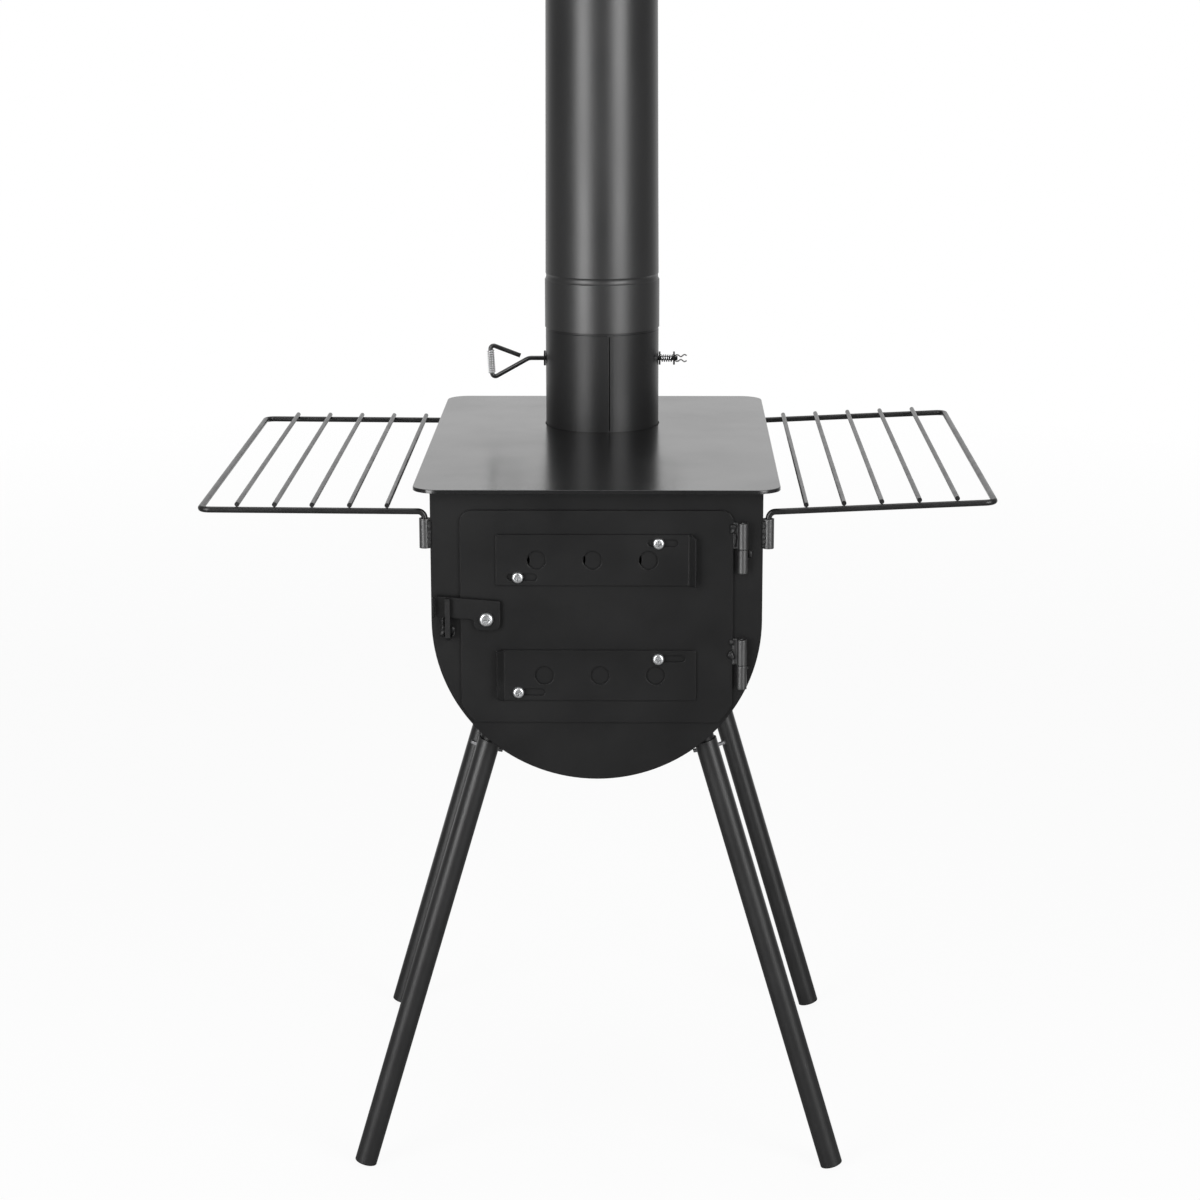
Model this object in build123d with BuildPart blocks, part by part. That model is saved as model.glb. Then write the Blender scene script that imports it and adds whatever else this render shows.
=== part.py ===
"""Tent wood stove: a D-section sheet steel firebox on four splayed legs, with a door that has
two sliding vents and a drop latch, two lift-out side racks and a chimney of nesting pipes.

Sizes are millimetres. X points right, Y to the back and Z up. The origin is on the floor, under
the middle of the cooktop.
"""

import os
from math import cos, pi, radians, sin, sqrt, tan

from build123d import *

os.makedirs("parts", exist_ok=True)

# Firebox and cooktop
cooktop_height = 602.0          # floor to the cooktop's upper face
body_width = 270.0
body_length = 432.0             # front plate's face to back plate's face
straight_height = 108.0         # upright part of the firebox's sides
cooktop_overhang = 14.0
cooktop_thickness = 3.0
cooktop_corner_radius = 20.0
cooktop_edge_round = 0.8
firebox_sheet = 2.0
cut_overrun = 6.0               # how far a cut runs past what it cuts
seat_gap = 0.3                  # between faces of two pieces that move past each other
running_gap = 0.08              # round a shaft that turns in its hole
thread_gap = 0.05               # round a screw in its nut

# Door and its hinges
door_side_gap = 24.0            # firebox's side to the door's edge
door_height = 178.0
door_top_drop = 16.0            # cooktop's underside to the door's top edge
door_thickness = 2.0
door_corner_radius = 10.0
door_rim = 3.0                  # firebox outline left outside the door's lower corners
door_lap = 12.0                 # how far the door covers the front plate round its opening
hinge_barrel_radius = 4.2
hinge_pin_radius = 2.0
hinge_offset = 7.6              # door's edge to the hinge axis
hinge_pin_recess = 1.5          # door knuckle's top down to the pin
hinge_pin_round = 0.5
frame_knuckle_length = 19.5
door_knuckle_length = 21.5
hinge_drops = [47.7, 144.6]     # cooktop's underside to the split of each hinge
hinge_weld_width = 5.0

# Vents
vent_hole_radius = 7.5
vent_hole_pitch_share = 0.397   # pitch of the holes against the pitch of the slots
vent_hole_x = -16.3             # middle hole of each row in the door
vent_drops = [57.0, 153.7]      # cooktop's underside to each row of holes
vent_travel = 19.0
upper_vent_closed_by = 13.0     # how far the upper slider stands from fully open
slider_side_gap = 32.2          # half the difference between the door's width and the slider
slider_height = 42.8
slider_thickness = 1.2
slider_gap = 0.2
slider_corner_radius = 2.0
slot_end_inset = 21.5           # slider's end to the middle of a slot
slot_pitch_z = 28.4
tab_length = 8.5
tab_angle = 45.0
tab_chamfer = 4.0

# Screws and nuts
screw_radius = 2.5
vent_screw_head_radius = 4.7
latch_screw_head_radius = 5.7
screw_head_height = 3.3
screw_head_edge = 1.2           # upright edge below the head's dome
screw_crown_share = 0.5         # flat top of the head against its width
recess_depth = 1.7
recess_span = 5.0
recess_width = 1.1
nut_corner_radius = 4.6
nut_height = 4.0
screw_end = 1.2                 # thread past the nut

# Latch and keeper
latch_inset = 21.2              # door's edge to the latch's screw
latch_drop = 105.9              # cooktop's underside to the latch's screw
latch_thickness = 2.0
latch_spacer_thickness = 1.5
latch_spacer_radius = 6.5
latch_reach = 42.2              # screw to the inner face of the finger tab
latch_heel = 11.4               # screw to the right edge
latch_top = 15.0                # screw up to the top edge at the right
latch_toe = 9.8                 # screw down to the bottom of the eye
latch_eye = 10.2                # screw left to the side of the eye
latch_arm_width = 17.2
latch_slope = 4.5               # degrees that the arm's top edge climbs to the left
latch_corner_radius = 6.0
latch_tip_radius = 2.0
finger_tab_length = 9.0
finger_tab_margin = 0.8         # arm width left above and below the finger tab
finger_tab_bend_radius = 1.8
keeper_inset = 13.7             # firebox's side to the middle of the keeper
keeper_thickness = 4.0
keeper_gap = 0.8
keeper_prong_height = 17.4
keeper_base_height = 18.0
keeper_prong_thickness = 3.4
keeper_chamfer = 3.0

# Side racks
rack_rod_radius = 2.5
rack_bar_radius = 2.0
rack_reach = 322.4              # middle of the stove to the outer rod's middle
rack_end_inset = 3.0            # front plate's face to the middle of a rod
rack_drop = 18.0                # cooktop's underside to the rods' middle at the bend
rack_bend_radius = 5.5
rack_corner_radius = 8.0
rack_bar_count = 5
rack_rises = {"left": 0.4, "right": 2.6}    # degrees that each rack climbs outwards
rack_pin_depth = 14.0
rack_socket_radius = 4.5
rack_socket_length = 24.5
rack_weld_width = 5.0

# Legs
leg_end_inset = 25.5            # front plate's face to the middle of a leg
leg_splay = 16.3
leg_place = 40.745              # degrees round the firebox's belly from its lowest line to a leg
leg_radius = 9.5
leg_wall = 1.2
leg_top_gap = 1.7
stub_wall = 2.0
stub_depth = 50.0               # how far the stub reaches into the leg
bolt_station = 14.0             # leg's upper end to the wing bolt
bolt_radius = 3.0
leg_nut_corner_radius = 5.8
leg_nut_height = 5.0
bolt_hub_radius = 4.6
bolt_hub_height = 8.0
bolt_hub_taper = 8.0            # degrees
bolt_collar_gap = 1.5
wing_span = 14.0                # middle of the bolt to a wing's tip
wing_thickness = 2.4
wing_rise = 8.0
wing_root = 3.0
wing_corner_radius = 3.0

# Fire grate
grate_drop_share = 0.699        # depth of the grate below the arc's centre against its radius
grate_side_gap = 5.0
grate_end_gap = 14.0
grate_thickness = 2.5
grate_slot_length_share = 0.9   # of the slots' pitch
grate_slot_width_share = 0.365
grate_slot_columns = 6
grate_slot_rows = 6
grate_rest_thickness = 2.0
grate_rest_width = 16.0

# Chimney
flue_back_distance = 132.0      # back plate's face to the flue's axis
collar_radius = 49.7
collar_wall = 1.5
collar_height = 30.0
collar_flange_width = 7.0
collar_flange_thickness = 1.5
pipe_wall = 0.8
damper_pipe_radius = 50.8
damper_pipe_length = 133.3      # collar's flange to the upper edge
damper_pipe_neck = 0.45         # how much the upper end is drawn in
neck_length = 44.0
socket_depth = 42.4
socket_overlap_step = 0.1       # pipe above the bead over the socket's bore
bead_height = 6.0
bead_depth = 0.5                # how far the bead is pressed in below the pipe above it
pipe_length = 400.0
pipe_taper = 1.7
pipe_count = 4
seam_width = 5.0
seam_rise = 0.5
seam_x = 8.0
cap_collar_length = 40.0
cap_band_height = 46.0
cap_slot_count = 12
cap_slot_width = 14.0
cap_slot_height = 30.0
cap_hat_radius = 82.0
cap_hat_height = 30.0
cap_hat_sheet = 1.0

# Damper
damper_rod_height = 58.9        # above the cooktop
damper_rod_radius = 2.0
damper_disc_radius = 48.6
damper_disc_thickness = 1.2
damper_strap_length = 14.0
damper_strap_wall = 1.2
damper_strap_x = 28.0
handle_washer_radius = 6.8
spring_washer_radius = 6.0
washer_thickness = 1.5
rod_end_margin = 1.9            # rod past the middle of the split pin's hole
handle_bend_x = 66.2
handle_low_x = 99.3
handle_low_drop = 18.6
handle_high_x = 101.1
handle_high_rise = 12.5
handle_end_x = 73.9
handle_end_rise = 2.2
handle_bend_radii = [9.0, 3.0, 3.0]
split_pin_radius = 0.6
split_pin_gap = 0.3             # between the rod and the pin's legs
split_pin_shoulder = 2.4        # the legs run along the rod this far, then turn in
split_pin_waist_x = 4.9
split_pin_waist_half = 1.0
split_pin_crest_x = 8.0
split_pin_crest_half = 3.4
split_pin_tip_x = 10.2
split_pin_tip_half = 2.3
split_pin_bend_radius = 0.9
split_pin_wave_radius = 1.2

# Springs
spring_wire_radius = 0.55
spring_mean_radius = 3.0
spring_pitch = 2.0
spring_turns = 5
spring_end_room = 0.15          # room for the wire's slope where a coil meets a washer
grip_wire_radius = 0.55
grip_mean_radius = 2.9
grip_pitch = 2.1
grip_turns = 10
gap_samples = 24                # points a turn where a coil's gap to itself is measured

# Places worked out from the sizes
cooktop_underside = cooktop_height - cooktop_thickness
arc_centre_z = cooktop_underside - straight_height
body_radius = body_width / 2
front_face = -body_length / 2
flue_y = body_length / 2 - flue_back_distance
flue_hole_radius = damper_pipe_radius + seam_rise + seat_gap
door_half_width = body_radius - door_side_gap
slider_length = 2 * (door_half_width - slider_side_gap)
slot_pitch_x = slider_length - 2 * slot_end_inset
vent_hole_pitch = slot_pitch_x * vent_hole_pitch_share
latch_x = latch_inset - door_half_width
keeper_x = keeper_inset - body_radius
rack_half_depth = body_length / 2 - rack_end_inset
leg_y = body_length / 2 - leg_end_inset
door_front = door_thickness + seat_gap              # in front of the front plate's face
slider_back = door_front + slider_gap
slider_front = slider_back + slider_thickness
latch_back = door_front + latch_spacer_thickness + slider_gap
latch_front = latch_back + latch_thickness
hinge_x = door_half_width + hinge_offset
hinge_y = front_face - hinge_barrel_radius - seat_gap

# Drawing plane on the firebox's face: its origin is the centre of the D's arc, x is right, y up
face_plane = Plane(origin=(0, front_face, arc_centre_z), x_dir=(1, 0, 0), z_dir=(0, -1, 0))


def draw_d(inset, top, mode=Mode.ADD):
    """Draw the firebox's D outline, moved inwards by inset and closed at height top."""
    half = body_radius - inset
    with BuildLine() as outline:
        Polyline((-half, 0), (-half, top), (half, top), (half, 0))
        ThreePointArc((half, 0), (0, -half), (-half, 0))
    make_face(outline.edges(), mode=mode)


def draw_ring(outer, inner):
    """Draw a ring."""
    Circle(outer)
    Circle(inner, mode=Mode.SUBTRACT)


def draw_door(inset):
    """Draw the door's outline moved inwards by inset: a rectangle trimmed by the D."""
    height = door_height - 2 * inset
    top = straight_height - door_top_drop - inset
    with Locations((0, top - height / 2)):
        door_rectangle = Rectangle(2 * (door_half_width - inset), height)
    upper_corners = door_rectangle.vertices().group_by(Axis.Y)[-1]
    fillet(upper_corners, radius=door_corner_radius)
    draw_d(door_rim + inset, straight_height, mode=Mode.INTERSECT)


def face_height(drop):
    """Height on the face plane of a place that lies drop below the cooktop's underside."""
    return straight_height - drop


# Cooktop
with BuildPart() as cooktop_plate:
    with BuildSketch(Plane.XY.offset(cooktop_underside)):
        RectangleRounded(
            body_width + 2 * cooktop_overhang,
            body_length + 2 * cooktop_overhang,
            cooktop_corner_radius,
        )
        with Locations((0, flue_y)):
            Circle(flue_hole_radius, mode=Mode.SUBTRACT)
    extrude(amount=cooktop_thickness)
    top_face = cooktop_plate.faces().sort_by(Axis.Z)[-1]
    fillet(top_face.outer_wire().edges(), radius=cooktop_edge_round)
cooktop_plate.part.label = "cooktop_plate"
export_step(cooktop_plate.part, "parts/cooktop_plate.step")

# Firebox shell: one sheet bent to a U, between the front and back plates
with BuildPart() as firebox_shell:
    with BuildSketch(face_plane.offset(-firebox_sheet)):
        draw_d(0, straight_height)
        draw_d(firebox_sheet, straight_height + cut_overrun, mode=Mode.SUBTRACT)
    extrude(amount=-(body_length - 2 * firebox_sheet))
firebox_shell.part.label = "firebox_shell"
export_step(firebox_shell.part, "parts/firebox_shell.step")

with BuildPart() as front_plate:
    with BuildSketch(face_plane):
        draw_d(0, straight_height)
    extrude(amount=-firebox_sheet)
    with BuildSketch(face_plane):
        draw_door(door_lap)
    extrude(amount=-firebox_sheet, mode=Mode.SUBTRACT)
front_plate.part.label = "front_plate"
export_step(front_plate.part, "parts/front_plate.step")

with BuildPart() as back_plate:
    with BuildSketch(face_plane.offset(-body_length)):
        draw_d(0, straight_height)
    extrude(amount=firebox_sheet)
back_plate.part.label = "back_plate"
export_step(back_plate.part, "parts/back_plate.step")

# Flue collar: a short tube through the cooktop. The flange welded under it carries the chimney.
with BuildPart() as flue_collar:
    with BuildSketch(Plane.XY.offset(cooktop_underside)):
        with Locations((0, flue_y)):
            draw_ring(collar_radius, collar_radius - collar_wall)
    extrude(amount=cooktop_thickness + collar_height)
    with BuildSketch(Plane.XY.offset(cooktop_underside)):
        with Locations((0, flue_y)):
            draw_ring(collar_radius + collar_flange_width, collar_radius - collar_wall)
    extrude(amount=-collar_flange_thickness)
flue_collar.part.label = "flue_collar"
export_step(flue_collar.part, "parts/flue_collar.step")

# Fire grate on two rests that follow the curve of the shell
inner_radius = body_radius - firebox_sheet
rest_z = -inner_radius * grate_drop_share
grate_height = arc_centre_z + rest_z
grate_half_width = sqrt(inner_radius**2 - rest_z**2) - grate_side_gap
grate_length = body_length - 2 * grate_end_gap
rest_inner_x = grate_half_width - grate_rest_width
with BuildPart() as grate_rests:
    with BuildSketch(face_plane.offset(-(body_length - grate_length) / 2)):
        with Locations((0, rest_z - grate_rest_thickness / 2)):
            Rectangle(body_width, grate_rest_thickness)
        draw_d(firebox_sheet, straight_height, mode=Mode.INTERSECT)
        with Locations((0, rest_z)):
            Rectangle(2 * rest_inner_x, grate_rest_thickness * 4, mode=Mode.SUBTRACT)
    extrude(amount=-grate_length)
grate_rests.part.label = "grate_rests"
export_step(grate_rests.part, "parts/grate_rests.step")

with BuildPart() as fire_grate:
    with BuildSketch(Plane.XY.offset(grate_height)):
        Rectangle(2 * grate_half_width, grate_length)
        pitch_across = 2 * rest_inner_x / grate_slot_columns
        pitch_along = grate_length / (grate_slot_rows + 1)
        with GridLocations(pitch_across, pitch_along, grate_slot_columns, grate_slot_rows):
            SlotOverall(
                pitch_along * grate_slot_length_share,
                pitch_across * grate_slot_width_share,
                rotation=90,
                mode=Mode.SUBTRACT,
            )
    extrude(amount=grate_thickness)
fire_grate.part.label = "fire_grate"
export_step(fire_grate.part, "parts/fire_grate.step")

# Hinges: a lower knuckle on the front plate, an upper one on the door, and a pin
hinge_splits = [cooktop_underside - drop for drop in hinge_drops]
hinge_centre = (hinge_x, hinge_y)
knuckle_bore = hinge_pin_radius + running_gap

with BuildPart() as frame_hinge_knuckles:
    for split in hinge_splits:
        with BuildSketch(Plane.XY.offset(split)):
            with Locations(hinge_centre):
                Circle(hinge_barrel_radius)
            with Locations((hinge_x, (hinge_y + front_face) / 2)):
                Rectangle(hinge_weld_width, front_face - hinge_y)
            with Locations(hinge_centre):
                Circle(hinge_pin_radius, mode=Mode.SUBTRACT)
        extrude(amount=-frame_knuckle_length)
frame_hinge_knuckles.part.label = "frame_hinge_knuckles"
export_step(frame_hinge_knuckles.part, "parts/frame_hinge_knuckles.step")

with BuildPart() as door_hinge_knuckles:
    for split in hinge_splits:
        with BuildSketch(Plane.XY.offset(split + seat_gap)):
            with Locations(hinge_centre):
                Circle(hinge_barrel_radius)
            with Locations((hinge_x - hinge_offset / 2, front_face - door_front + door_thickness / 2)):
                Rectangle(hinge_offset, door_thickness)
            with Locations(hinge_centre):
                Circle(knuckle_bore, mode=Mode.SUBTRACT)
        extrude(amount=door_knuckle_length)
door_hinge_knuckles.part.label = "door_hinge_knuckles"
export_step(door_hinge_knuckles.part, "parts/door_hinge_knuckles.step")

with BuildPart() as hinge_pins:
    for split in hinge_splits:
        with BuildSketch(Plane.XY.offset(split - frame_knuckle_length)):
            with Locations(hinge_centre):
                Circle(hinge_pin_radius)
        extrude(amount=frame_knuckle_length + seat_gap + door_knuckle_length - hinge_pin_recess)
        pin_top = hinge_pins.faces(Select.LAST).sort_by(Axis.Z)[-1]
        fillet(pin_top.edges(), radius=hinge_pin_round)
hinge_pins.part.label = "hinge_pins"
export_step(hinge_pins.part, "parts/hinge_pins.step")

# Screw places on the face plane
screw_x = vent_hole_x + vent_travel / 2
vent_rows = [face_height(drop) for drop in vent_drops]
vent_screws = [
    [
        (screw_x + slot_pitch_x / 2, row + slot_pitch_z / 2),
        (screw_x - slot_pitch_x / 2, row - slot_pitch_z / 2),
    ]
    for row in vent_rows
]
latch_place = (latch_x, face_height(latch_drop))
all_screws = vent_screws[0] + vent_screws[1] + [latch_place]

# Door
with BuildPart() as door_panel:
    with BuildSketch(face_plane.offset(seat_gap)):
        draw_door(0)
        for row in vent_rows:
            with Locations((vent_hole_x, row)):
                with GridLocations(vent_hole_pitch, 0, 3, 1):
                    Circle(vent_hole_radius, mode=Mode.SUBTRACT)
        with Locations(*all_screws):
            Circle(screw_radius + thread_gap, mode=Mode.SUBTRACT)
    extrude(amount=door_thickness)
door_panel.part.label = "door_panel"
export_step(door_panel.part, "parts/door_panel.step")


def add_screw(place, seat_height, head_radius):
    """Add a pan head screw whose head sits seat_height in front of the front plate's face."""
    shank_start = seat_gap - nut_height - screw_end
    seat = face_plane.offset(seat_height)
    centre = seat.from_local_coords(place)
    profile_plane = Plane(origin=centre, x_dir=seat.x_dir, z_dir=seat.y_dir * -1)
    crown_radius = head_radius * screw_crown_share
    with BuildSketch(profile_plane) as profile:
        with BuildLine():
            Polyline(
                (0, screw_head_height), (0, shank_start - seat_height),
                (screw_radius, shank_start - seat_height), (screw_radius, 0),
                (head_radius, 0), (head_radius, screw_head_edge),
            )
            TangentArc((head_radius, screw_head_edge), (crown_radius, screw_head_height), tangent=(0, 1))
            Line((crown_radius, screw_head_height), (0, screw_head_height))
        make_face()
    revolve(profile.sketch, axis=Axis(centre, seat.z_dir))
    recess_plane = Plane(origin=centre, x_dir=seat.x_dir, z_dir=seat.z_dir)
    with BuildSketch(recess_plane.offset(screw_head_height - recess_depth)) as recess:
        Rectangle(recess_span, recess_width)
        Rectangle(recess_width, recess_span)
    extrude(recess.sketch, amount=recess_depth + cut_overrun, mode=Mode.SUBTRACT)


def add_nut(place):
    """Add a hexagon nut on the door's rear face."""
    with BuildSketch(face_plane.offset(seat_gap)) as outline:
        with Locations(place):
            RegularPolygon(nut_corner_radius, 6)
            Circle(screw_radius + thread_gap, mode=Mode.SUBTRACT)
    extrude(outline.sketch, amount=-nut_height)


with BuildPart() as upper_vent_screws:
    for place in vent_screws[0]:
        add_screw(place, slider_front + slider_gap, vent_screw_head_radius)
upper_vent_screws.part.label = "upper_vent_screws"
export_step(upper_vent_screws.part, "parts/upper_vent_screws.step")

with BuildPart() as lower_vent_screws:
    for place in vent_screws[1]:
        add_screw(place, slider_front + slider_gap, vent_screw_head_radius)
lower_vent_screws.part.label = "lower_vent_screws"
export_step(lower_vent_screws.part, "parts/lower_vent_screws.step")

with BuildPart() as latch_screw:
    add_screw(latch_place, latch_front + slider_gap, latch_screw_head_radius)
latch_screw.part.label = "latch_screw"
export_step(latch_screw.part, "parts/latch_screw.step")

with BuildPart() as door_nuts:
    for place in all_screws:
        add_nut(place)
door_nuts.part.label = "door_nuts"
export_step(door_nuts.part, "parts/door_nuts.step")

with BuildPart() as latch_spacer:
    with BuildSketch(face_plane.offset(door_front)):
        with Locations(latch_place):
            draw_ring(latch_spacer_radius, screw_radius + thread_gap)
    extrude(amount=latch_spacer_thickness)
latch_spacer.part.label = "latch_spacer"
export_step(latch_spacer.part, "parts/latch_spacer.step")


def add_slider(centre_x, row, tab_side):
    """Add a vent slider. tab_side is 1 for a finger tab at the right, -1 turns it half round."""
    back = face_plane.offset(slider_back)
    middle = back.from_local_coords((centre_x, row))
    plane = Plane(origin=middle, x_dir=back.x_dir * tab_side, z_dir=back.z_dir)
    fold_x = slider_length / 2
    slot_half_width = screw_radius + slider_gap
    with BuildSketch(plane) as flat:
        plate = Rectangle(slider_length, slider_height)
        fillet(plate.vertices().sort_by(Axis.X)[:2], radius=slider_corner_radius)
        with GridLocations(vent_hole_pitch, 0, 3, 1):
            Circle(vent_hole_radius, mode=Mode.SUBTRACT)
        slot_places = [(slot_pitch_x / 2, slot_pitch_z / 2), (-slot_pitch_x / 2, -slot_pitch_z / 2)]
        with Locations(*slot_places):
            SlotCenterToCenter(vent_travel, 2 * slot_half_width, mode=Mode.SUBTRACT)
    extrude(flat.sketch, amount=slider_thickness)
    # The tab's section looks along the slider's edge: x runs along the slider, y to the back
    section = Plane(
        origin=plane.from_local_coords((0, -slider_height / 2)), x_dir=plane.x_dir, z_dir=plane.y_dir
    )
    angle = radians(tab_angle)
    tip = (fold_x + tab_length * cos(angle), -tab_length * sin(angle))
    with BuildSketch(section) as fold:
        with BuildLine():
            Polyline(
                (fold_x, 0), tip,
                (tip[0] - slider_thickness * sin(angle), tip[1] - slider_thickness * cos(angle)),
                (fold_x - slider_thickness * tan(angle / 2), -slider_thickness), (fold_x, 0),
            )
        make_face()
    extrude(fold.sketch, amount=slider_height, dir=plane.y_dir)
    with BuildSketch(plane) as clipped_corner:
        with BuildLine():
            Polyline(
                (tip[0], slider_height / 2 - tab_chamfer), (tip[0], slider_height / 2),
                (tip[0] - tab_chamfer, slider_height / 2), (tip[0], slider_height / 2 - tab_chamfer),
            )
        make_face()
    extrude(clipped_corner.sketch, amount=2 * tab_length, mode=Mode.SUBTRACT)


with BuildPart() as upper_vent_slider:
    add_slider(vent_hole_x + upper_vent_closed_by, vent_rows[0], 1)
upper_vent_slider.part.label = "upper_vent_slider"
export_step(upper_vent_slider.part, "parts/upper_vent_slider.step")

with BuildPart() as lower_vent_slider:
    add_slider(vent_hole_x + vent_travel, vent_rows[1], -1)
lower_vent_slider.part.label = "lower_vent_slider"
export_step(lower_vent_slider.part, "parts/lower_vent_slider.step")


# Latch: an eye round the screw, an arm that drops into the keeper, and a finger tab
def arm_top(x):
    """Height above the screw of the arm's sloping top edge."""
    return latch_top + (latch_heel - x) * tan(radians(latch_slope))


latch_plane = Plane(
    origin=face_plane.offset(latch_back).from_local_coords(latch_place),
    x_dir=face_plane.x_dir,
    z_dir=face_plane.z_dir,
)
with BuildPart() as latch_lever:
    with BuildSketch(latch_plane) as latch_outline:
        with BuildLine():
            FilletPolyline(
                (latch_heel, arm_top(latch_heel)), (-latch_reach, arm_top(-latch_reach)),
                (-latch_reach, arm_top(-latch_reach) - latch_arm_width),
                (-latch_eye, arm_top(-latch_eye) - latch_arm_width),
                (-latch_eye, -latch_toe), (latch_heel, -latch_toe),
                radius=[
                    latch_tip_radius, 0, 0, latch_tip_radius, latch_corner_radius, latch_corner_radius,
                ],
                close=True,
            )
        make_face()
        Circle(screw_radius + running_gap, mode=Mode.SUBTRACT)
    extrude(amount=latch_thickness)
    finger_tab_height = latch_arm_width - 2 * finger_tab_margin
    finger_tab_middle = arm_top(-latch_reach) - latch_arm_width / 2
    with BuildSketch(latch_plane):
        with Locations((-latch_reach - latch_thickness / 2, finger_tab_middle)):
            Rectangle(latch_thickness, finger_tab_height)
    extrude(amount=finger_tab_length)
    tab_heel = latch_lever.edges().filter_by(Axis.Z).sort_by(Axis.X)[:2].sort_by(Axis.Y)[-1]
    fillet(tab_heel, radius=finger_tab_bend_radius)
latch_lever.part.label = "latch_lever"
export_step(latch_lever.part, "parts/latch_lever.step")

# Keeper: an upright hook that the arm drops into. Its section has x to the front and y up.
keeper_slot = arm_top(keeper_x - latch_x) - latch_arm_width - keeper_gap
keeper_section = Plane(
    origin=face_plane.from_local_coords((keeper_x, latch_place[1])), x_dir=(0, -1, 0), z_dir=(-1, 0, 0)
)
prong_back = latch_front + keeper_gap
prong_front = prong_back + keeper_prong_thickness
with BuildPart() as latch_keeper:
    with BuildSketch(keeper_section):
        with BuildLine():
            Polyline(
                (0, keeper_slot), (0, keeper_slot - keeper_base_height),
                (prong_front - keeper_chamfer, keeper_slot - keeper_base_height),
                (prong_front, keeper_slot - keeper_base_height + keeper_chamfer),
                (prong_front, keeper_slot + keeper_prong_height),
                (prong_back, keeper_slot + keeper_prong_height), (prong_back, keeper_slot),
                (0, keeper_slot),
            )
        make_face()
    extrude(amount=keeper_thickness / 2, both=True)
latch_keeper.part.label = "latch_keeper"
export_step(latch_keeper.part, "parts/latch_keeper.step")

# Side racks: each frame is one bent rod whose ends drop into two welded sockets
rack_rod_z = cooktop_underside - rack_drop
socket_x = body_radius + rack_socket_radius
socket_top = rack_rod_z - rack_bend_radius
rack_run = rack_reach - socket_x
sides = {"left": -1, "right": 1}

for name, side in sides.items():
    rise = radians(rack_rises[name])
    outer_z = rack_rod_z + rack_run * tan(rise)
    pin_z = socket_top - rack_pin_depth

    with BuildPart() as rack_frame:
        with BuildLine() as rack_path:
            FilletPolyline(
                (side * socket_x, -rack_half_depth, pin_z),
                (side * socket_x, -rack_half_depth, rack_rod_z),
                (side * rack_reach, -rack_half_depth, outer_z),
                (side * rack_reach, rack_half_depth, outer_z),
                (side * socket_x, rack_half_depth, rack_rod_z),
                (side * socket_x, rack_half_depth, pin_z),
                radius=[rack_bend_radius, rack_corner_radius, rack_corner_radius, rack_bend_radius],
            )
        with BuildSketch(Plane(origin=rack_path.line @ 0, z_dir=rack_path.line % 0)):
            Circle(rack_rod_radius)
        sweep()
    rack_frame.part.label = f"{name}_rack_frame"
    export_step(rack_frame.part, f"parts/{name}_rack_frame.step")

    # The bars lie on the frame, evenly spaced between the firebox and the outer rod
    bar_lift = rack_rod_radius + rack_bar_radius
    with BuildPart() as rack_bars:
        for i in range(1, rack_bar_count + 1):
            along = rack_run * i / (rack_bar_count + 1)
            bar_x = side * (socket_x + along - bar_lift * sin(rise))
            bar_z = rack_rod_z + along * tan(rise) + bar_lift * cos(rise)
            with BuildSketch(Plane(origin=(bar_x, 0, bar_z), x_dir=(1, 0, 0), z_dir=(0, 1, 0))):
                Circle(rack_bar_radius)
            extrude(amount=rack_half_depth, both=True)
    rack_bars.part.label = f"{name}_rack_bars"
    export_step(rack_bars.part, f"parts/{name}_rack_bars.step")

    with BuildPart() as rack_sockets:
        for end in (-1, 1):
            with BuildSketch(Plane.XY.offset(socket_top)):
                with Locations((side * socket_x, end * rack_half_depth)):
                    Circle(rack_socket_radius)
                with Locations((side * (socket_x + body_radius) / 2, end * rack_half_depth)):
                    Rectangle(socket_x - body_radius, rack_weld_width)
                with Locations((side * socket_x, end * rack_half_depth)):
                    Circle(rack_rod_radius + seat_gap, mode=Mode.SUBTRACT)
            extrude(amount=-rack_socket_length)
    rack_sockets.part.label = f"{name}_rack_sockets"
    export_step(rack_sockets.part, f"parts/{name}_rack_sockets.step")

# Legs: each tube slips over a stub welded under the firebox and is held by a wing bolt
splay = radians(leg_splay)
leg_foot_z = leg_radius * sin(splay)
stub_radius = leg_radius - leg_wall - seat_gap
# Where a leg's axis meets the firebox's round underside, and how far that is up the axis
meeting_x = body_radius * sin(radians(leg_place))
meeting_z = arc_centre_z - body_radius * cos(radians(leg_place))
axis_length = (meeting_z - leg_foot_z) / cos(splay)
leg_foot_x = meeting_x + axis_length * sin(splay)
leg_length = axis_length - leg_radius * tan(radians(leg_place) - splay) - leg_top_gap
corners = {
    "front_left": (-1, -1),
    "front_right": (1, -1),
    "back_left": (-1, 1),
    "back_right": (1, 1),
}

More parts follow.
